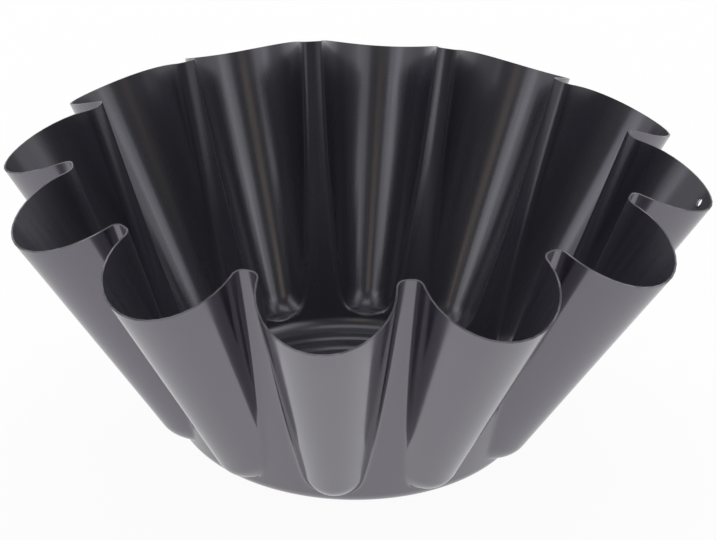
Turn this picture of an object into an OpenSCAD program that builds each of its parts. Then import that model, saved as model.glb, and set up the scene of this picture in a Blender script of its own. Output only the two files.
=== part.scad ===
// Fluted brioche mould, pressed from one round of steel sheet with a non-stick coating on both faces.
// Millimetres, +Z up. The origin is under the middle of the base, on the surface that the mould
// stands on, and the middle line of one flute lies over +X.
// Sizes are those of the outside face. "Slope length" is measured along a straight line up the wall
// from the corner, the circle where the flat base and the straight wall would meet without a curve.

/* [Overall] */
// Diameter across the flute tips at the rim
rim_d = 220; // [200:1:240]
// Diameter of the corner circle, where base and wall would meet
corner_d = 110.5; // [96:0.5:124]
// Slope length of the sheet from the corner circle to the rim, the same all round, so the rim waves
slant = 99.5; // [85:0.5:115]

/* [Flutes] */
// Number of flutes
flutes = 12; // [10:1:14]
// How far a flute stands out from the wall at the rim
flute_depth = 22.8; // [18:0.1:26]
// Gap between neighbouring flutes at the rim, where they come closest
rim_gap = 6.7; // [5.6:0.1:9]
// Radius of the fold between two flutes
fold_r = 2.6; // [1.5:0.1:3]
// Slope length over which the round foot of a flute rises out of the wall
foot_len = 8.4; // [7:0.1:12]
// How far a flute stands out from the wall where its foot ends
foot_depth = 4.7; // [3.5:0.1:5]
// Width of a flute at the wall where its foot ends
foot_w = 18.2; // [15:0.1:20]

/* [Base] */
// Radius of the curve from the base into the wall
corner_r = 7; // [5:0.1:9]
// Number of stamped rings in the base
rings = 2; // [1:1:5]
// Distance from one stamped ring to the next
ring_pitch = 6.7; // [5:0.1:9]
// Width of a stamped ring at the base
ring_w = 3.6; // [2.5:0.1:4.5]
// Width of the flat underside of a stamped ring, which the mould stands on
ring_foot = 1.4; // [0.8:0.1:2]
// Height of the base above the underside of the rings
ring_h = 0.8; // [0.4:0.1:1.5]
// Flat left between the outer ring and the curve into the wall
ring_margin = 0.5; // [0.3:0.1:2]

/* [Sheet] */
// Thickness of the bare steel
steel_t = 0.5; // [0.3:0.05:1]
// Thickness of the coating on each face
coat_t = 0.05; // [0.03:0.01:0.1]

/* [Hanging hole] */
// Diameter of the hanging hole
hole_d = 3; // [2:0.1:5]
// Slope length from the rim down to the middle of the hole
hole_drop = 4.5; // [4:0.1:12]
// Distance of the hole from the flute's middle line, measured across the flute
hole_side = 5.6; // [0:0.1:6]

/* [Hidden] */

// Facets across half a flute, along the curve into the wall, along a foot and up a wall
ACROSS = 6;
CORNER_STEPS = 2;
FOOT_STEPS = 2;
WALL_STEPS = 3;
COLUMNS = 2 * ACROSS * flutes;
ROUND = 144;
// Weight that a curve gets over its length when facets are shared out, so tight curves get more
BEND = 8;
// Small step for slopes, in millimetres and as a share of half a flute
NUDGE = 0.01;

sheet_t = steel_t + 2 * coat_t;
corner_c = corner_d / 2;
half = 180 / flutes;
// Lean of the plain wall from upright, between the flutes
lean = asin((rim_d / 2 - flute_depth - corner_c) / slant);
// Slope length that the corner curve takes, where the feet begin, and radius of the flat base
foot_start = corner_r * tan((90 - lean) / 2);
foot_end = foot_start + foot_len;
flat_r = corner_c - foot_start;
// Radius of a flute's round section where its foot ends and at the rim
foot_lobe_r = (pow(foot_w / 2, 2) + pow(foot_depth, 2)) / (2 * foot_depth);
rim_lobe_r = (rim_d / 2 * sin(half) - rim_gap / 2) / (1 + sin(half));
// The flat base and the wall meet inside the flat margin
seam_r = flat_r - ring_margin / 2;

// Radius of the plain wall at a slope length s
function wall_r(s) = corner_c + s * sin(lean);
// 0 where the feet end, 1 at the rim
function climb(s) = (s - foot_end) / (slant - foot_end);
// Radius of a flute's round section at s
function lobe_r(s) = foot_lobe_r + (rim_lobe_r - foot_lobe_r) * climb(s);
// How far a flute stands out at s: its foot is a quarter of an ellipse, then it deepens evenly
function stand_out(s) =
    (foot_depth + (flute_depth - foot_depth) * climb(s))
    * (s < foot_end ? sin(acos(1 - (s - foot_start) / foot_len)) : 1);

// Plan of half a flute at s, from the middle of a fold (angle 0) to the flute's tip (angle half):
// an arc of the wall, a fold tangent to it, and the flute's own arc tangent to the fold.
// [wall radius, flute radius, flute centre's distance, fold radius, fold centre's angle,
//  direction from fold centre to flute centre]
function plan(s) =
    let (
        w = wall_r(s),
        a = lobe_r(s),
        c = w + stand_out(s) - a,
        // The largest fold that fits between two flutes and touches the wall
        room = (w * w + c * c - 2 * c * w * cos(half) - a * a) / (2 * (a + c * cos(half) - w)),
        f = room > 0 ? min(fold_r, room) : fold_r,
        away = acos(((w + f) * (w + f) + c * c - (a + f) * (a + f)) / (2 * (w + f) * c)),
        turn = half - away,
        reach = c * [cos(half), sin(half)] - (w + f) * [cos(turn), sin(turn)]
    )
    [w, a, c, f, turn, atan2(reach.y, reach.x)];

// Point of that plan at a share x of the way from fold to tip, with the facets shared out
// by each arc's length and bend
function plan_point(p, x) =
    let (
        w = p[0], a = p[1], c = p[2], f = p[3], turn = p[4], aim = p[5],
        fold_sweep = turn + 180 - aim,
        lobe_from = aim - 180,
        lobe_sweep = half - lobe_from,
        part1 = turn * w,
        part2 = fold_sweep * (f + BEND),
        part3 = lobe_sweep * (a + BEND),
        at = x * (part1 + part2 + part3),
        g2 = turn + 180 - (at - part1) / (f + BEND),
        g3 = lobe_from + (at - part1 - part2) / (a + BEND)
    )
    at < part1 ? w * [cos(at / w), sin(at / w)]
    : at < part1 + part2 ? (w + f) * [cos(turn), sin(turn)] + f * [cos(g2), sin(g2)]
    : c * [cos(half), sin(half)] + a * [cos(g3), sin(g3)];

// A plan point lifted to its place on the wall: every point of the sheet stays s from the corner
function lifted(q, s) = [q.x, q.y, ring_h + sqrt(s * s - pow(norm(q) - corner_c, 2))];
function wall_point(s, x) = lifted(plan_point(plan(s), x), s);

// Unit vector across the sheet towards the inside of the mould
function wall_inward(s, x) =
    let (
        x0 = max(0, x - NUDGE),
        x1 = min(1, x + NUDGE),
        n = cross(wall_point(s, x1) - wall_point(s, x0), wall_point(s + NUDGE, x) - wall_point(s - NUDGE, x))
    )
    -n / norm(n);

// Points of half a flute at a share x, from the flat margin up to the rim, each with its inward
// direction. Below the feet the sheet is round, so only the direction round the axis matters there.
foot_plan = plan(foot_end);
function bearing(x) = let (q = plan_point(foot_plan, x)) atan2(q.y, q.x);
function round_point(x, r, z, tilt) =
    let (b = bearing(x))
    [[r * cos(b), r * sin(b), z], [-sin(tilt) * cos(b), -sin(tilt) * sin(b), cos(tilt)]];
function climb_points(x) = [
    round_point(x, flat_r - ring_margin, ring_h, 0),
    for (k = [0:CORNER_STEPS])
        let (t = (90 - lean) * k / CORNER_STEPS)
        round_point(x, flat_r + corner_r * sin(t), ring_h + corner_r * (1 - cos(t)), t),
    for (k = [1:FOOT_STEPS])
        let (s = foot_start + foot_len * (1 - cos(90 * k / FOOT_STEPS)))
        [wall_point(s, x), wall_inward(s, x)],
    for (k = [1:WALL_STEPS])
        let (s = foot_end + (slant - foot_end) * k / WALL_STEPS)
        [wall_point(s, x), wall_inward(s, x)]
];
half_flute = [for (k = [0:ACROSS]) climb_points(k / ACROSS)];
ROWS = len(half_flute[0]);

function mirrored(v) = [v.x, -v.y, v.z];
function turned(v, b) = [v.x * cos(b) - v.y * sin(b), v.x * sin(b) + v.y * cos(b), v.z];
// Column j of the whole mould: each half flute runs on as its mirror image. A flute's tip is at +X.
function column(j) =
    let (
        k = j % (2 * ACROSS),
        b = 2 * half * floor(j / (2 * ACROSS)) - half,
        near = half_flute[k <= ACROSS ? k : 2 * ACROSS - k]
    )
    [for (e = near) [for (v = e) turned(k <= ACROSS ? v : turned(mirrored(v), 2 * half), b)]];
columns = [for (j = [0:COLUMNS - 1]) column(j)];

// Wall between two depths in the sheet, counted from the outside face
module wall_layer(from, to) {
    skin = COLUMNS * ROWS;
    points = [
        for (depth = [from, to])
            for (c = columns)
                for (e = c)
                    e[0] + depth * e[1]
    ];
    faces = [
        for (j = [0:COLUMNS - 1])
            let (a = j * ROWS, b = ((j + 1) % COLUMNS) * ROWS)
            each [
                for (i = [0:ROWS - 2])
                    each [
                        [a + i, a + i + 1, b + i + 1],
                        [a + i, b + i + 1, b + i],
                        [skin + a + i, skin + b + i + 1, skin + a + i + 1],
                        [skin + a + i, skin + b + i, skin + b + i + 1]
                    ],
                for (i = [0, ROWS - 1])
                    let (p = i == 0 ? a : b, q = i == 0 ? b : a)
                    each [
                        [p + i, q + i, skin + q + i],
                        [p + i, skin + q + i, skin + p + i]
                    ]
            ]
    ];
    polyhedron(points, faces, convexity = 10);
}

// Underside of the base from the axis outwards, with its stamped rings pressed down
base_line = [
    [0, ring_h],
    for (k = [rings - 1:-1:0])
        let (r = flat_r - ring_margin - ring_w / 2 - k * ring_pitch)
        each [[r - ring_w / 2, ring_h], [r - ring_foot / 2, 0], [r + ring_foot / 2, 0], [r + ring_w / 2, ring_h]],
    [seam_r, ring_h]
];
// A line moved sideways by d, with its corners mitred
function moved(line, d) = [
    for (i = [0:len(line) - 1])
        let (
            a = i > 0 ? line[i] - line[i - 1] : line[1] - line[0],
            b = i < len(line) - 1 ? line[i + 1] - line[i] : a,
            na = [-a.y, a.x] / norm(a),
            nb = [-b.y, b.x] / norm(b)
        )
        line[i] + d * (na + nb) / (1 + na * nb)
];

// Base between two depths in the sheet
module base_layer(from, to) {
    upper = moved(base_line, to);
    rotate_extrude($fn = ROUND)
        polygon(concat(moved(base_line, from), [for (i = [len(upper) - 1:-1:0]) upper[i]]));
}

// The hanging hole lies in the facet beside the middle line of the flute at +X, on its +Y side, and
// goes square through it. facet_edge gives that facet's two long edges, 0 being the middle line.
function facet_edge(s, k) = mirrored(turned(wall_point(s, 1 - k / ACROSS), -half));
hole_s = slant - hole_drop;
hole_start = facet_edge(hole_s, 0);
hole_across = facet_edge(hole_s, 1) - hole_start;
hole_mid = hole_start + hole_side * hole_across / norm(hole_across);
hole_out = let (n = cross(hole_across, facet_edge(slant, 0) - hole_start)) n / norm(n);
module hanging_hole() {
    translate(hole_mid)
        rotate([0, acos(hole_out.z), atan2(hole_out.y, hole_out.x)])
            cylinder(h = 4 * hole_d, d = hole_d, center = true, $fn = 48);
}

// One layer of the pressed sheet, holed, between two depths counted from the outside face
module pressed_layer(from, to) {
    difference() {
        union() {
            difference() {
                wall_layer(from, to);
                cylinder(h = 4 * ring_h, r = seam_r, $fn = ROUND);
            }
            base_layer(from, to);
        }
        hanging_hole();
    }
}

// Bare steel, seen only at the cut rim and in the hanging hole
module steel_shell() {
    color("silver") pressed_layer(coat_t, coat_t + steel_t);
}

// Non-stick film that the dough touches
module inside_coating() {
    color([0.13, 0.13, 0.14]) pressed_layer(coat_t + steel_t, sheet_t);
}

// Non-stick film on the outside and under the base
module outside_coating() {
    color([0.22, 0.22, 0.24]) pressed_layer(0, coat_t);
}

steel_shell();
inside_coating();
outside_coating();
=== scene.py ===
# %% [markdown]
# # A fluted brioche mould
#
# This lesson dresses a finished CAD model of a brioche mould for a studio picture. The mould is one
# round of thin sheet steel, pressed into twelve round flutes, with a dark non-stick film baked onto
# both faces. There is nothing to it but a skin 0.6 mm thick, so the whole lesson is about two
# things: getting a smooth pressed surface from a few sizes, and getting a dark gloss that only
# shows what stands around it.
#
# Everything is in metres, with +Z up and the hanging hole over +X.

# %% Load the frame
import math

import bpy
import numpy as np
from mathutils import Matrix, Vector


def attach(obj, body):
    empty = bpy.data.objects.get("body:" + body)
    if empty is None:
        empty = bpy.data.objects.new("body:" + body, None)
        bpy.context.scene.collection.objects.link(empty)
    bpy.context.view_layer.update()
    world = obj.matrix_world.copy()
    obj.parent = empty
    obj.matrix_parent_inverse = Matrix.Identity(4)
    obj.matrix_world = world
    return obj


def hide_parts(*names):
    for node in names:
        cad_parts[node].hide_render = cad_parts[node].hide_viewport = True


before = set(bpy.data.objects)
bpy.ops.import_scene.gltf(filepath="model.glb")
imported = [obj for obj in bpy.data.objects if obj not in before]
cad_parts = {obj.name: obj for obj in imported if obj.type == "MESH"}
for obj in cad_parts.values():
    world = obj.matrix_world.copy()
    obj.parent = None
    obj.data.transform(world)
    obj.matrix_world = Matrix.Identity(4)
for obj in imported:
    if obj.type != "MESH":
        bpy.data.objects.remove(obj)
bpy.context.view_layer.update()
scene = bpy.context.scene

# %% [markdown]
# ## The sizes
#
# They are the sizes of the outside face, in millimetres, under the same names as in the part's own
# source. "Slope length" is measured up the wall from the corner circle, where the flat base and the
# straight wall would meet. Pressing hardly stretches the sheet, so every point keeps its slope
# length, and the rim is the same slope length all round. That is why it dips at each flute.

# %% Sizes of the mould
MM = 0.001
RIM_D, CORNER_D, SLANT = 220.0, 110.5, 99.5
FLUTES, FLUTE_DEPTH, RIM_GAP, FOLD_R = 12, 22.8, 6.7, 2.6
FOOT_LEN, FOOT_DEPTH, FOOT_W = 8.4, 4.7, 18.2
CORNER_R = 7.0
RINGS, RING_PITCH, RING_W, RING_FOOT, RING_H, RING_MARGIN = 2, 6.7, 3.6, 1.4, 0.8, 0.5
STEEL_T, COAT_T = 0.5, 0.05
HOLE_D, HOLE_DROP, HOLE_SIDE = 3.0, 4.5, 5.6

SHEET_T = STEEL_T + 2 * COAT_T
CORNER_C = CORNER_D / 2
HALF = math.pi / FLUTES
LEAN = math.asin((RIM_D / 2 - FLUTE_DEPTH - CORNER_C) / SLANT)
FOOT_START = CORNER_R * math.tan((math.pi / 2 - LEAN) / 2)
FOOT_END = FOOT_START + FOOT_LEN
FLAT_R = CORNER_C - FOOT_START
FOOT_LOBE_R = ((FOOT_W / 2) ** 2 + FOOT_DEPTH**2) / (2 * FOOT_DEPTH)
RIM_LOBE_R = (RIM_D / 2 * math.sin(HALF) - RIM_GAP / 2) / (1 + math.sin(HALF))
print(f"wall leans {math.degrees(LEAN):.1f} degrees")
print(f"feet run from {FOOT_START:.1f} to {FOOT_END:.1f} mm of slope length")

# %% [markdown]
# ## The camera
#
# The picture looks down into the mould at about 28 degrees, from far enough away that the flutes
# hardly converge: a long lens at three quarters of a metre. The camera is set by an aim point, a
# distance, two angles and a small roll, so each can be read and changed by itself.

# %% Camera
CAMERA_TURN = math.radians(4.6466)
CAMERA_RISE = math.radians(27.6657)
CAMERA_ROLL = math.radians(1.19)
CAMERA_DISTANCE = 0.77927
LENS = 124.185
AIM_ASIDE, AIM_UP = 0.0014, 0.053024
FURTHEST_SEEN = 50

aim = Vector((AIM_ASIDE * math.cos(CAMERA_TURN), AIM_ASIDE * math.sin(CAMERA_TURN), AIM_UP))
towards = Vector(
    (
        math.sin(CAMERA_TURN) * math.cos(CAMERA_RISE),
        -math.cos(CAMERA_TURN) * math.cos(CAMERA_RISE),
        math.sin(CAMERA_RISE),
    )
)
camera = bpy.data.objects.new("camera", bpy.data.cameras.new("camera"))
scene.collection.objects.link(camera)
camera.data.lens = LENS
camera.data.clip_end = FURTHEST_SEEN
camera.matrix_world = (
    Matrix.Translation(aim + towards * CAMERA_DISTANCE)
    @ towards.to_track_quat("Z", "Y").to_matrix().to_4x4()
    @ Matrix.Rotation(CAMERA_ROLL, 4, "Z")
)
scene.camera = camera
print("camera at", [round(v, 3) for v in camera.location])

# %% [markdown]
# ## The shape of one flute
#
# Seen from above, half a flute is three arcs that run into each other: a bit of the round wall, a
# tight fold, and the round back of the flute. Working the arcs out at any height gives a surface
# with no flat spots, which matters because a dark gloss shows every one of them.
#
# The other way would be to model one flute by hand with a few control points and subdivide it. That
# is quicker, but its curves only look like arcs, and here the depth, the width and the fold are
# known.
#
# At the base each flute begins in a rounded toe. There the depth grows as a quarter of an ellipse
# does. A toe that began all at once would leave a crease, so the rise is averaged over a short
# bend.

# %% How far a flute stands out
FOOT_BEND, BEND_SAMPLES = 0.2, 9


def climb(s):
    """0 where the feet end, 1 at the rim."""
    return (s - FOOT_END) / (SLANT - FOOT_END)


def foot_rise(s):
    """Share of its depth that a foot has at slope length s."""
    steps = (s - FOOT_START) / FOOT_LEN - np.linspace(0, FOOT_BEND, BEND_SAMPLES)
    return float(np.mean(np.sqrt(1 - (1 - np.clip(steps, 0, 1)) ** 2)))


def stand_out(s):
    return (FOOT_DEPTH + (FLUTE_DEPTH - FOOT_DEPTH) * climb(s)) * foot_rise(s)


print("depth past the foot and at the rim:", round(stand_out(FOOT_END + 2), 2), stand_out(SLANT))


# %% Plan of half a flute
def plan(s):
    """Radii, distances and angles of the arcs of half a flute at slope length s."""
    wall = CORNER_C + s * math.sin(LEAN)
    lobe = FOOT_LOBE_R + (RIM_LOBE_R - FOOT_LOBE_R) * climb(s)
    centre = wall + stand_out(s) - lobe
    room = wall**2 + centre**2 - 2 * centre * wall * math.cos(HALF) - lobe**2
    room /= 2 * (lobe + centre * math.cos(HALF) - wall)
    fold = min(FOLD_R, room) if room > 0 else FOLD_R
    away_cos = (wall + fold) ** 2 + centre**2 - (lobe + fold) ** 2
    turn = HALF - math.acos(away_cos / (2 * (wall + fold) * centre))
    aim_x = centre * math.cos(HALF) - (wall + fold) * math.cos(turn)
    aim_y = centre * math.sin(HALF) - (wall + fold) * math.sin(turn)
    return wall, lobe, centre, fold, turn, math.atan2(aim_y, aim_x) % (2 * math.pi)


BEND_WEIGHT = 8.0


def plan_points(s, share):
    """Points at shares 0 (middle of a fold) to 1 (a flute's tip), closer together on tight arcs."""
    wall, lobe, centre, fold, turn, towards_lobe = plan(s)
    lobe_from = towards_lobe - math.pi
    part_1 = turn * wall
    part_2 = (turn - lobe_from) * (fold + BEND_WEIGHT)
    part_3 = (HALF - lobe_from) * (lobe + BEND_WEIGHT)
    at = share * (part_1 + part_2 + part_3)
    g2 = turn + math.pi - (at - part_1) / (fold + BEND_WEIGHT)
    g3 = lobe_from + (at - part_1 - part_2) / (lobe + BEND_WEIGHT)
    on_wall = wall * np.stack([np.cos(at / wall), np.sin(at / wall)], -1)
    fold_mid = (wall + fold) * np.array([math.cos(turn), math.sin(turn)])
    on_fold = fold_mid + fold * np.stack([np.cos(g2), np.sin(g2)], -1)
    lobe_mid = centre * np.array([math.cos(HALF), math.sin(HALF)])
    on_lobe = lobe_mid + lobe * np.stack([np.cos(g3), np.sin(g3)], -1)
    first = (at < part_1)[..., None]
    second = (at < part_1 + part_2)[..., None]
    return np.where(first, on_wall, np.where(second, on_fold, on_lobe))


def wall_points(s, share):
    """Plan points lifted so that they stay s from the corner circle."""
    flat = plan_points(s, share)
    out = np.hypot(flat[:, 0], flat[:, 1]) - CORNER_C
    return np.column_stack([flat, RING_H + np.sqrt(s * s - out * out)])


rim_heights = wall_points(SLANT, np.array([0, 1]))[:, 2]
print("heights of a fold and a tip at the rim:", np.round(rim_heights, 1))

# %% [markdown]
# ## From the middle of the base to the rim
#
# The whole sheet is one grid. A row goes once round the mould, and the rows follow each other from
# the flat middle of the base, over the stamped rings, round the corner and up the wall. The base
# and the corner are round, so their rows are known from a drawn line: its radius, height and slope.
# The rings' bends are rounded with the radii that 0.5 mm steel takes.
#
# A Screw modifier could turn the same line into a base. It wouldn't run on into the flutes, though,
# and the mould is one sheet without a seam.


# %% A line with rounded bends
def rounded_line(corners, radii, steps=4):
    """Points of a line with arcs at its corners, each with the line's slope there, in radians."""
    corners = [np.array(c, float) for c in corners]
    line = []
    for i, corner in enumerate(corners):
        before = corner - corners[i - 1] if i else corners[1] - corner
        after = corners[i + 1] - corner if i < len(corners) - 1 else before
        slope_1, slope_2 = (math.atan2(v[1], v[0]) for v in (before, after))
        bend = slope_2 - slope_1
        if not radii[i]:
            line.append((*corner, slope_1))
            continue
        start = corner - before / np.linalg.norm(before) * radii[i] * math.tan(abs(bend) / 2)
        side = math.copysign(1, bend)
        middle = start + side * radii[i] * np.array([-math.sin(slope_1), math.cos(slope_1)])
        for k in range(steps + 1):
            slope = slope_1 + bend * k / steps
            point = middle - side * radii[i] * np.array([-math.sin(slope), math.cos(slope)])
            line.append((*point, slope))
    return line


print("points in one rounded bend:", len(rounded_line([(0, 0), (1, 0), (2, 1)], [0, 0.5, 0])) - 2)

# %% Line of the base and its corner
UNDER_BEND, UPPER_BEND = 1.0, 0.7
INNER_FLAT = 20.0  # radius of the plain round in the middle
LAST_FLAT = FLAT_R - RING_MARGIN / 4
CORNER_ROWS = 10
ring_corners, ring_radii = [(INNER_FLAT, RING_H)], [0]
for ring in reversed(range(RINGS)):
    middle = FLAT_R - RING_MARGIN - RING_W / 2 - ring * RING_PITCH
    ring_corners += [(middle - RING_W / 2, RING_H), (middle - RING_FOOT / 2, 0)]
    ring_corners += [(middle + RING_FOOT / 2, 0), (middle + RING_W / 2, RING_H)]
    ring_radii += [UPPER_BEND, UNDER_BEND, UNDER_BEND, UPPER_BEND]
ring_corners.append((LAST_FLAT, RING_H))
ring_radii.append(0)
base_line = rounded_line(ring_corners, ring_radii)
for k in range(CORNER_ROWS + 1):
    slope = (math.pi / 2 - LEAN) * k / CORNER_ROWS
    radius = FLAT_R + CORNER_R * math.sin(slope)
    base_line.append((radius, RING_H + CORNER_R * (1 - math.cos(slope)), slope))
print("rows in the base and its corner:", len(base_line))

# %% [markdown]
# ## The grid of the sheet
#
# One half flute is worked out, then mirrored and turned to make all twelve. Each point also gets
# the direction straight through the sheet, towards the inside. The steel and both films are then
# the same grid at different depths, as on the real mould, where the films follow every curve of the
# steel.
#
# Blender's Solidify modifier thickens a surface as well, but it takes that direction from the faces
# round each point. Here it comes from the arcs themselves, so even a film of a twentieth of a
# millimetre stays the same thickness over the folds.

# %% Half a flute, in the base and its corner
ACROSS = 14
share = np.linspace(0, 1, ACROSS + 1)
foot_plan = plan_points(FOOT_END, share)
bearing = np.arctan2(foot_plan[:, 1], foot_plan[:, 0])


def on_round(radius, height):
    """A row of the round base: the same radius and height at every bearing."""
    level = np.full_like(bearing, height)
    return np.stack([radius * np.cos(bearing), radius * np.sin(bearing), level], -1)


rows = [on_round(radius, height) for radius, height, slope in base_line]
inward = [on_round(-math.sin(slope), math.cos(slope)) for radius, height, slope in base_line]
slope_length = [radius - CORNER_C for radius, height, slope in base_line]
print("points across half a flute:", len(share))

# %% Half a flute, up its foot and its wall
FOOT_ROWS, WALL_ROWS = 13, 24
NUDGE = 1e-4
foot_turns = np.arange(1, FOOT_ROWS + 1) / FOOT_ROWS * math.pi / 2
foot_steps = FOOT_START + (1 + FOOT_BEND) * FOOT_LEN * (1 - np.cos(foot_turns))
wall_steps = np.linspace(foot_steps[-1], SLANT, WALL_ROWS + 1)[1:]
for s in (*foot_steps, *wall_steps):
    up = wall_points(s + NUDGE, share) - wall_points(s - NUDGE, share)
    further, nearer = np.clip(share + NUDGE, 0, 1), np.clip(share - NUDGE, 0, 1)
    through = np.cross(up, wall_points(s, further) - wall_points(s, nearer))
    rows.append(wall_points(s, share))
    inward.append(through / np.linalg.norm(through, axis=1, keepdims=True))
    slope_length.append(s)
rows, inward = np.array(rows), np.array(inward)
ROWS = len(rows)
print("rows from the middle of the base to the rim:", ROWS)


# %% All twelve flutes
def turned(points, angle):
    """Points turned round the mould's axis."""
    c, s = math.cos(angle), math.sin(angle)
    x, y = points[..., 0], points[..., 1]
    return np.stack([x * c - y * s, x * s + y * c, points[..., 2]], -1)


MIRROR = np.array([1, -1, 1])


def all_round(half_flute):
    """Columns of the whole mould, a flute's tip at +X, from those of half a flute."""
    columns = []
    for flute in range(FLUTES):
        angle = 2 * HALF * flute - HALF
        columns.append(turned(half_flute, angle)[:, :-1])
        mirrored = turned(half_flute * MIRROR, 2 * HALF + angle)
        columns.append(mirrored[:, ::-1][:, :-1])
    return np.concatenate(columns, 1)


sheet = all_round(rows)
sheet_in = all_round(inward)
COLUMNS = sheet.shape[1]
print("columns:", COLUMNS, "reach:", np.round(sheet.reshape(-1, 3).max(0), 2))

# %% [markdown]
# ## The hanging hole
#
# It is punched square through the side of one flute, close under the rim. It could be drawn into
# the grid, but then the columns would have to bend round it, and the gloss would show where they
# do. So a cylinder cuts it out of each layer instead, which also leaves the steel bare inside the
# hole, as on the rim. The CAD model has flat facets there, and its hole is square to one of them.
# The same facet is worked out here, so that both models have the hole in the same place. It lies
# 0.3 mm under the round outside face, and that is the middle of the sheet.
#
# On both sides the film is pushed up into a small rounded lip round the hole, which draws the dark
# ring seen in the photo. The lip is joined to its film as one solid, so no faces are left inside.

# %% Where the hole is
CAD_FACETS = 6


def facet_edge(s, facets_aside):
    """Point on an edge of the CAD model's facets, counted from the tip of the flute over +X."""
    point = wall_points(s, np.array([1 - facets_aside / CAD_FACETS]))
    return (turned(point, -HALF) * MIRROR)[0]


hole_tip = facet_edge(SLANT - HOLE_DROP, 0)
hole_across = facet_edge(SLANT - HOLE_DROP, 1) - hole_tip
hole_mid = Vector(hole_tip + HOLE_SIDE * hole_across / np.linalg.norm(hole_across)) * MM
hole_out = Vector(np.cross(hole_across, facet_edge(SLANT, 0) - hole_tip)).normalized()


def at_hole(outwards):
    """A frame with Z along the hole, a distance in mm out from the middle of the sheet."""
    turn = hole_out.to_track_quat("Z", "Y").to_matrix().to_4x4()
    return Matrix.Translation(hole_mid + hole_out * outwards * MM) @ turn


print("middle of the hole:", [round(v, 4) for v in hole_mid], "m")

# %% Tools for the hole and its lip
HOLE_SIDES, PUNCH_LENGTH = 64, 8 * HOLE_D
LIP_R, LIP_REACH, LIP_FLAT, LIP_SIDES = 0.22, 0.15, 0.6, 14


def punch():
    """A cylinder as wide as the hole."""
    bpy.ops.mesh.primitive_cylinder_add(
        vertices=HOLE_SIDES, radius=HOLE_D / 2 * MM, depth=PUNCH_LENGTH * MM
    )
    tool = bpy.context.object
    tool.matrix_world = at_hole(0)
    return tool


def lip(outwards):
    """A rounded lip of film for round the hole, which reaches a little into it."""
    bpy.ops.mesh.primitive_torus_add(
        major_segments=HOLE_SIDES,
        minor_segments=LIP_SIDES,
        major_radius=(HOLE_D / 2 - LIP_REACH + LIP_R) * MM,
        minor_radius=LIP_R * MM,
    )
    ring = bpy.context.object
    ring.matrix_world = at_hole(outwards) @ Matrix.Diagonal((1, 1, LIP_FLAT, 1))
    return ring


def combine(piece, tool, operation):
    """Cut the tool out of the piece, or join it on, and use the tool up."""
    step = piece.modifiers.new("hole", "BOOLEAN")
    step.operation, step.solver, step.object = operation, "EXACT", tool
    bpy.context.view_layer.update()
    ready = piece.evaluated_get(bpy.context.evaluated_depsgraph_get())
    done = bpy.data.meshes.new_from_object(ready)
    piece.modifiers.clear()
    piece.data = done
    bpy.data.objects.remove(tool)


print("hole", HOLE_D, "mm, clear opening inside the lip", HOLE_D - 2 * LIP_REACH, "mm")

# %% [markdown]
# ## A layer of the sheet
#
# A layer is closed: an outer skin, an inner skin, a strip along the rim and a flat round in the
# middle of the base. Two things about the sheet are stored at the corners of its faces, since a cut
# passes those on to the new corners that it makes:
#
# - where the corner is on the sheet, as a direction round the axis and a share of the way up, so
#   that the marks of the press can run along the flutes;
# - the direction straight out of the sheet, which becomes the shading normal. Without it, the gloss
#   would crease round the hole, where the cut leaves faces of odd shapes.

# %% What the points of a layer carry
around = np.tile(np.arctan2(sheet[-1, :, 1], sheet[-1, :, 0]), ROWS)
share_up = np.repeat(np.array(slope_length) / SLANT, COLUMNS)
on_sheet = np.tile(np.stack([np.cos(around), np.sin(around), share_up], -1), (2, 1))
straight_out = np.concatenate([-sheet_in.reshape(-1, 3), sheet_in.reshape(-1, 3)])
print("share of the way up, from", round(share_up.min(), 2), "to", round(share_up.max(), 2))


# %% Faces of a layer
def closed_faces():
    """Faces of a layer, and which of their corners are on the strip along the rim."""
    other = ROWS * COLUMNS
    faces = []
    for i in range(ROWS - 1):
        for j in range(COLUMNS):
            a, b = i * COLUMNS + j, i * COLUMNS + (j + 1) % COLUMNS
            c, d = a + COLUMNS, b + COLUMNS
            faces += [(a, c, d, b), (other + a, other + b, other + d, other + c)]
    strip_from = len(faces)
    for j in range(COLUMNS):
        a, b = other - COLUMNS + j, other - COLUMNS + (j + 1) % COLUMNS
        faces.append((a, other + a, other + b, b))
    strip = slice(4 * strip_from, 4 * len(faces))
    faces.append(tuple(range(COLUMNS)))
    faces.append(tuple(other + j for j in reversed(range(COLUMNS))))
    return faces, strip


layer_faces, rim_strip = closed_faces()
print("faces of a layer before the cut:", len(layer_faces))

# %% Build one layer
CREASE = math.radians(40)


def keep(mesh, name, vectors):
    """Store a vector at each corner of each face."""
    corners = mesh.attributes.new(name, "FLOAT_VECTOR", "CORNER").data
    corners.foreach_set("vector", vectors.astype(np.float32).ravel())


def closed_layer(name, depth_from, depth_to):
    """A layer between two depths in mm, counted from the outside face, not yet cut."""
    skins = [(sheet + depth * sheet_in).reshape(-1, 3) for depth in (depth_from, depth_to)]
    mesh = bpy.data.meshes.new(name)
    mesh.from_pydata((np.concatenate(skins) * MM).tolist(), [], layer_faces)
    corner_point = np.empty(len(mesh.loops), int)
    mesh.loops.foreach_get("vertex_index", corner_point)
    keep(mesh, "on_sheet", on_sheet[corner_point])
    out = straight_out[corner_point]
    out[rim_strip] = 0  # a zero leaves the normal to Blender
    keep(mesh, "straight_out", out)
    piece = bpy.data.objects.new(name, mesh)
    scene.collection.objects.link(piece)
    return piece


def shade_smooth(mesh):
    """Smooth shading along the stored directions, with a crease only at sharp edges."""
    mesh.polygons.foreach_set("use_smooth", [True] * len(mesh.polygons))
    mesh.set_sharp_from_angle(angle=CREASE)
    out = np.empty(3 * len(mesh.loops))
    mesh.attributes["straight_out"].data.foreach_get("vector", out)
    mesh.attributes.remove(mesh.attributes["straight_out"])
    mesh.normals_split_custom_set(out.reshape(-1, 3).tolist())


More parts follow.
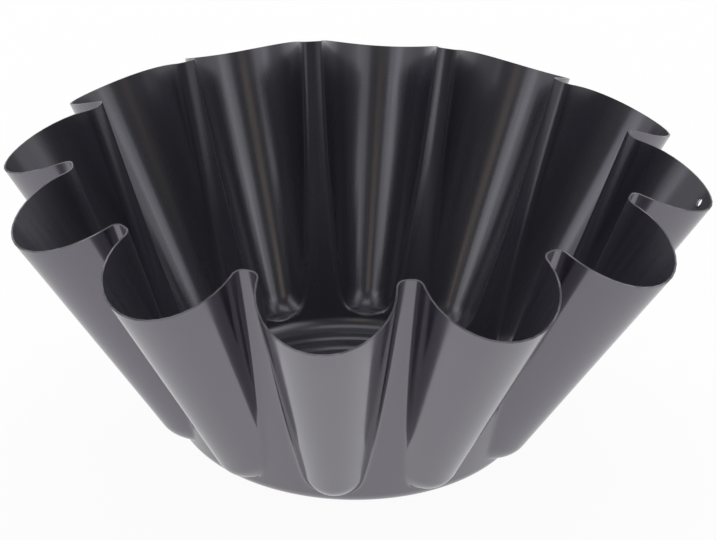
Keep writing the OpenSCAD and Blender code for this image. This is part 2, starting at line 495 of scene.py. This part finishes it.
def layer(name, depth_from, depth_to, lip_out=None):
    piece = closed_layer(name, depth_from, depth_to)
    combine(piece, punch(), "DIFFERENCE")
    if lip_out is not None:
        combine(piece, lip(lip_out), "UNION")
    shade_smooth(piece.data)
    print(name, "faces:", len(piece.data.polygons))
    return piece


outside_film = layer("outside_film", 0, COAT_T, lip_out=SHEET_T / 2)
steel_sheet = layer("steel_sheet", COAT_T, COAT_T + STEEL_T)
inside_film = layer("inside_film", COAT_T + STEEL_T, SHEET_T, lip_out=-SHEET_T / 2)

# %% [markdown]
# ## Finishes
#
# A finish here is a small net of nodes. One helper adds a node with its settings and inputs, and a
# few more add the kinds that are used most, so that each net reads as a list of steps. A number
# that is the same all over goes straight onto the shader.


# %% Helpers for nodes
def add(tree, kind, inputs=None, **settings):
    """Add a shader node. An input takes a number, a colour or another node's output."""
    new = tree.nodes.new("ShaderNode" + kind)
    for name, value in settings.items():
        setattr(new, name, value)
    for name, value in (inputs or {}).items():
        if isinstance(value, bpy.types.NodeSocket):
            tree.links.new(value, new.inputs[name])
        else:
            new.inputs[name].default_value = value
    return new


def plain_finish(name, **values):
    """A new material and its shader, with numbers set on the shader by name."""
    material = bpy.data.materials.new(name)
    material.use_nodes = True
    shader = material.node_tree.nodes["Principled BSDF"]
    for socket, value in values.items():
        shader.inputs[socket.replace("_", " ")].default_value = value
    return material, shader


def times(tree, value, factor):
    return add(tree, "Math", {0: value, 1: factor}, operation="MULTIPLY").outputs[0]


def sum_of(tree, *parts):
    total = parts[0]
    for part in parts[1:]:
        total = add(tree, "Math", {0: total, 1: part}, operation="ADD").outputs[0]
    return total


def spread(tree, value, ends, to=(0, 1), **settings):
    """Stretch the range between two ends to another one, and hold the value beyond them."""
    ranges = {"From Min": ends[0], "From Max": ends[1], "To Min": to[0], "To Max": to[1]}
    return add(tree, "MapRange", {"Value": value, **ranges}, **settings).outputs[0]


def noise(tree, where, scale, detail, **more):
    """Soft random spots, as many to a metre as the scale says."""
    inputs = {"Vector": where, "Scale": scale, "Detail": detail, **more}
    return add(tree, "TexNoise", inputs).outputs["Fac"]


def blend(tree, share, colour_1, colour_2):
    """Mix two colours: the Mix node's inputs 6 and 7, with the result at its output 2."""
    inputs = {"Factor": share, 6: colour_1, 7: colour_2}
    return add(tree, "Mix", inputs, data_type="RGBA").outputs[2]


print("helpers for nodes ready, in", bpy.app.version_string)

# %% [markdown]
# ## The non-stick film
#
# The film is a dark plastic with a clear, glossy top. One gloss alone makes the bright streaks
# either hard or washed out, and the real film's have a sharp middle and a soft edge. So there are
# two glosses over each other: a base with a high refractive index under a coat, which is thin
# outside and full inside. The film's own colour is almost black, so nearly all that is seen of it
# is what it mirrors, and that is right, since the photo's greys are the studio. The index outside
# is higher than a plastic has. It makes up for the photo's over-exposed ground, which mirrors
# brighter than white.
#
# Five marks keep it from looking like a computed surface. The first two come from the press. It
# draws the walls along the flutes, which leaves long faint streaks there, and none on the flat
# base. Near the rim, where the sheet was held and slid, the film is a little duller.

# %% Marks of the press
STREAKS_ROUND, STREAKS_UP = 36, 1.2
STREAK_ENDS = (0.3, 0.7)  # noise in the mildest and the strongest streaks
DRAWN_ENDS = (0.04, 0.25)  # shares of the way up between which the streaks come in
HAZE_ENDS, RIM_HAZE = (0.86, 1), 0.07


def press_streaks(tree, place, seed):
    """Noise that runs along the flutes. Each film has streaks of its own, from its seed."""
    stretch = (STREAKS_ROUND, STREAKS_ROUND, STREAKS_UP)
    along = add(tree, "VectorMath", {0: place, 1: stretch}, operation="MULTIPLY").outputs[0]
    shifted = add(tree, "VectorMath", {0: along, 1: (seed, 0, 0)}, operation="ADD").outputs[0]
    return noise(tree, shifted, scale=1, detail=3, Roughness=0.5)


print(f"a streak is about {RIM_D / 2 / STREAKS_ROUND:.0f} mm wide at a flute's tip")

# %% [markdown]
# The mould stands on its rings, and oven shelves scuff them grey. The photo doesn't show that side.
# The scuffs are spots of fine noise, kept to the last quarter of a millimetre above the ground.
# They could be painted on instead, but a rule by height needs no picture, and it can't miss the
# places that touch.

# %% Scuffs under the base
SCUFF_HEIGHT, SCUFF_MOST, SCUFF_ROUGH = 0.00025, 0.8, 0.3
SCUFF_COLOUR = (0.16, 0.155, 0.15, 1)
RUB_SCALE, RUB_ENDS = 900, (0.45, 0.58)


def scuffs(tree, where):
    """How much of the film is scuffed away, from 0 to SCUFF_MOST."""
    height = add(tree, "SeparateXYZ", {0: where}).outputs["Z"]
    touching = spread(tree, height, (SCUFF_HEIGHT, 0), to=(0, SCUFF_MOST))
    rubbed = noise(tree, where, RUB_SCALE, detail=5, Roughness=0.7)
    return times(tree, touching, spread(tree, rubbed, RUB_ENDS))


print("scuffs reach", SCUFF_HEIGHT / MM, "mm above the ground")

# %% [markdown]
# The last two marks come from the oven in which the film is baked. It dries with a fine orange
# peel, which is only a bump here, six thousandths of a millimetre high. And it is cloudy: a little
# browner or bluer, glossier or duller, over a few centimetres.

# %% Finish of the film
PEEL_SCALE, PEEL_HEIGHT = 500, 0.000006
CLOUD_SCALE, CLOUD_ENDS, CLOUD_GLOSS = 1 / 0.06, (0.35, 0.65), 0.04


def film(name, colours, gloss, streak_gloss, streak_height, seed, **values):
    material, shader = plain_finish(name, **values)
    tree = material.node_tree
    place = add(tree, "Attribute", attribute_name="on_sheet").outputs["Vector"]
    where = add(tree, "TexCoord").outputs["Object"]
    up = add(tree, "SeparateXYZ", {0: place}).outputs["Z"]
    streaks = press_streaks(tree, place, seed)
    drawn = spread(tree, up, DRAWN_ENDS)
    clouds = noise(tree, where, CLOUD_SCALE, detail=3, Distortion=0.4)
    peel = noise(tree, where, PEEL_SCALE, detail=2)
    scuffed = scuffs(tree, where)

    streaky = spread(tree, streaks, STREAK_ENDS, to=(-streak_gloss, streak_gloss))
    cloudy = spread(tree, clouds, CLOUD_ENDS, to=(-CLOUD_GLOSS, CLOUD_GLOSS))
    haze = spread(tree, up, HAZE_ENDS, to=(0, RIM_HAZE))
    worn = times(tree, scuffed, SCUFF_ROUGH)
    rough = sum_of(tree, times(tree, streaky, drawn), cloudy, haze, worn, gloss)
    tree.links.new(rough, shader.inputs["Roughness"])

    colour = blend(tree, scuffed, blend(tree, clouds, *colours), SCUFF_COLOUR)
    tree.links.new(colour, shader.inputs["Base Color"])

    ridges = times(tree, times(tree, streaks, streak_height), drawn)
    relief = sum_of(tree, ridges, times(tree, peel, PEEL_HEIGHT))
    bump = add(tree, "Bump", {"Height": relief, "Strength": 1, "Distance": 1}).outputs["Normal"]
    tree.links.new(bump, shader.inputs["Normal"])
    tree.links.new(bump, shader.inputs["Coat Normal"])
    return material


film_out = film(
    "outside nonstick film",
    colours=((0.014, 0.013, 0.022, 1), (0.022, 0.020, 0.027, 1)),
    gloss=0.13,
    streak_gloss=0.03,
    streak_height=0.000007,
    seed=3.0,
    IOR=2.33,
    Specular_Tint=(0.93, 0.895, 1, 1),
    Coat_Weight=0.1,
    Coat_Roughness=0.09,
    Coat_IOR=1.5,
)
film_in = film(
    "inside nonstick film",
    colours=((0.023, 0.0225, 0.034, 1), (0.030, 0.0285, 0.036, 1)),
    gloss=0.26,
    streak_gloss=0.05,
    streak_height=0.00001,
    seed=17.0,
    IOR=1.85,
    Specular_Tint=(0.92, 0.9, 1, 1),
    Coat_Weight=0.7,
    Coat_Roughness=0.19,
    Coat_IOR=1.5,
)
print("films:", film_out.name, "and", film_in.name)

# %% [markdown]
# ## The cut edge
#
# The round was cut out of coated sheet, so its edge is bare steel: along the rim, and in the
# hanging hole. The steel is a layer of its own here, so nothing has to be painted, and the edge is
# simply what shows of it between the films.
#
# It is only half a millimetre wide. It has dulled in the oven, it is a little dirty where film was
# dragged over it by the shear, and the shear left fine lines across it. Clean bright steel would
# draw a white line round the mould, which the photo doesn't show.

# %% Finish of the cut edge
DULL_STEEL, DIRTY_STEEL = (0.31, 0.305, 0.325, 1), (0.16, 0.157, 0.17, 1)
DIRT_SCALE, DIRT_ENDS = 160, (0.42, 0.6)
EDGE_ENDS, EDGE_ROUGH = (0.3, 0.7), (0.32, 0.5)
SHEAR_SCALE, SHEAR_STRENGTH, SHEAR_DEPTH = 2500, 0.3, 0.00002

bare_steel, shader = plain_finish("cut steel edge", Metallic=1)
tree = bare_steel.node_tree
where = add(tree, "TexCoord").outputs["Object"]
dragged = noise(tree, where, DIRT_SCALE, detail=4)
edge_colour = blend(tree, spread(tree, dragged, DIRT_ENDS), DULL_STEEL, DIRTY_STEEL)
tree.links.new(edge_colour, shader.inputs["Base Color"])
tree.links.new(spread(tree, dragged, EDGE_ENDS, to=EDGE_ROUGH), shader.inputs["Roughness"])
lines = noise(tree, where, SHEAR_SCALE, detail=1)
shear = {"Height": lines, "Strength": SHEAR_STRENGTH, "Distance": SHEAR_DEPTH}
tree.links.new(add(tree, "Bump", shear).outputs["Normal"], shader.inputs["Normal"])
print("edge finish:", bare_steel.name)

# %% [markdown]
# ## Each layer takes its place
#
# Every layer stands for one node of the model and rides on its one body, since nothing on a mould
# moves. They could be joined into one object, but as three each keeps a finish and a place of its
# own, and the films could be swapped for another colour.

# %% Dress the layers
for piece, material, node, slot in (
    (outside_film, film_out, "outside_coating", "outside_nonstick"),
    (steel_sheet, bare_steel, "steel_shell", "steel"),
    (inside_film, film_in, "inside_coating", "inside_nonstick"),
):
    piece.data.materials.clear()
    piece.data.materials.append(material)
    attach(piece, "root")
    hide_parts(node)
    print(piece.name, "takes the place of", node)

# %% [markdown]
# ## The floor
#
# The photo's ground is plain white. More light could make a pale floor white, but it would bleach
# the mould as well. Instead the floor shows itself to the camera and in the gloss as an even white,
# through a light path. A small part of it stays an ordinary pale surface, which keeps the mould's
# shadow.

# %% White floor
FLOOR_SIZE, GLOW_SHARE = 30, 0.95
PALE = (0.9, 0.9, 0.9, 1)

bpy.ops.mesh.primitive_plane_add(size=FLOOR_SIZE)
floor = bpy.context.object
floor.name = "floor"
white, pale = plain_finish("white floor", Base_Color=PALE, Roughness=0.9, Specular_IOR_Level=0)
tree = white.node_tree
path = add(tree, "LightPath").outputs
seen = path["Is Camera Ray"]
for ray in ("Is Glossy Ray", "Is Transmission Ray"):
    seen = add(tree, "Math", {0: seen, 1: path[ray]}, operation="MAXIMUM").outputs[0]
glow = add(tree, "Emission", {"Strength": 1}).outputs[0]
glow_share = times(tree, seen, GLOW_SHARE)
both = add(tree, "MixShader", {"Fac": glow_share, 1: pale.outputs[0], 2: glow}).outputs[0]
tree.links.new(both, tree.nodes["Material Output"].inputs["Surface"])
floor.data.materials.append(white)
print("floor:", floor.dimensions[:2])

# %% [markdown]
# ## The studio
#
# A gloss this dark is a picture of the room, so the room is set up as the photo's reflections show
# it. White screens stand all round, dimmer towards their foot, with an opening towards the camera
# that looks dark, and the ceiling is dim. Two soft boxes stand at the edges of the opening: they
# make the pair of pale streaks down each flute. A warm card between them makes the brownish line
# between the streaks. A flat box overhead lights the toes of the flutes and the rings of the base.
#
# The screens could be planes with a glow, but the world does the same with less: the angle from the
# middle of the opening tells screens from opening, and the height gives the ceiling and the
# screens' foot. All the edges are soft.

# %% Screens, opening and ceiling
SCREENS, OPENING, CEILING, FOOT_OF_SCREENS = 0.75, 0.15, 0.25, 0.6
# In degrees: how high the opening's middle is, and where each part ends and the next one begins
OPENING_RISE, OPENING_TO, SCREENS_FROM = 20, 36, 58
FOOT_TO, SCREENS_FULLY, CEILING_FROM, CEILING_FULLY = 8, 26, 54, 64


def heading(turn_deg, rise_deg):
    """Direction from the mould, turned from the camera's side towards its right, and raised."""
    turn, rise = CAMERA_TURN + math.radians(turn_deg), math.radians(rise_deg)
    return Vector(
        (math.sin(turn) * math.cos(rise), -math.cos(turn) * math.cos(rise), math.sin(rise))
    )


def soft_edge(tree, value, function, degrees, to):
    """Pass softly from one brightness to another between two angles."""
    ends = [function(math.radians(angle)) for angle in degrees]
    return spread(tree, value, ends, to=to, interpolation_type="SMOOTHSTEP")


world = bpy.data.worlds.new("studio")
scene.world = world
world.use_nodes = True
tree = world.node_tree
looking = add(tree, "TexCoord").outputs["Generated"]
middle = heading(0, OPENING_RISE)
near = add(tree, "VectorMath", {0: looking, 1: middle}, operation="DOT_PRODUCT").outputs["Value"]
height = add(tree, "SeparateXYZ", {0: looking}).outputs["Z"]
screens = soft_edge(tree, near, math.cos, (SCREENS_FROM, OPENING_TO), (SCREENS, OPENING))
ceiling = soft_edge(tree, height, math.sin, (CEILING_FROM, CEILING_FULLY), (1, CEILING))
foot = soft_edge(tree, height, math.sin, (FOOT_TO, SCREENS_FULLY), (FOOT_OF_SCREENS, 1))
room = times(tree, times(tree, screens, ceiling), foot)
tree.links.new(room, tree.nodes["Background"].inputs["Color"])
print("the opening looks towards", [round(v, 2) for v in middle])

# %% [markdown]
# The soft boxes are lamps, since they light the mould as well as showing in it. Each is set by the
# brightness that it shows in a mirror, and its power follows from its size. The key light comes
# from behind the mould and shows in no gloss: it is there for the film's own colour and the floor's
# shadow.

# %% Soft boxes
AIM_HEIGHT, BOX_DISTANCE = 0.06, 1.6
WHITE, COOL, WARM = (1, 1, 1), (0.93, 0.96, 1), (1, 0.84, 0.66)


def softbox(name, turn_deg, rise_deg, size, brightness, colour=WHITE, distance=BOX_DISTANCE):
    """A flat lamp facing the mould, with a size of width and height in metres."""
    data = bpy.data.lights.new(name, "AREA")
    data.shape, data.size, data.size_y = "RECTANGLE", *size
    data.energy = brightness * math.pi * size[0] * size[1]
    data.color = colour
    lamp = bpy.data.objects.new(name, data)
    scene.collection.objects.link(lamp)
    direction = heading(turn_deg, rise_deg)
    lamp.location = Vector((0, 0, AIM_HEIGHT)) + direction * distance
    lamp.rotation_euler = direction.to_track_quat("Z", "Y").to_euler()
    return lamp


softbox("right soft box", 51, 35, (0.8, 0.75), 0.81, colour=COOL)
softbox("left soft box", -49, 28.5, (0.8, 1.12), 1.0, colour=COOL)
softbox("warm card", -4, 34, (0.42, 0.42), 0.7, colour=WARM)
softbox("overhead box", 0, 77, (0.9, 0.55), 0.8)
key = softbox("key light", 180, 60, (1.5, 1.5), 3, distance=2.0)
key.visible_glossy = False

# %% [markdown]
# ## Finish
#
# The picture's colours are shown through the standard view transform.

# %% Finish
scene.view_settings.view_transform = "Standard"
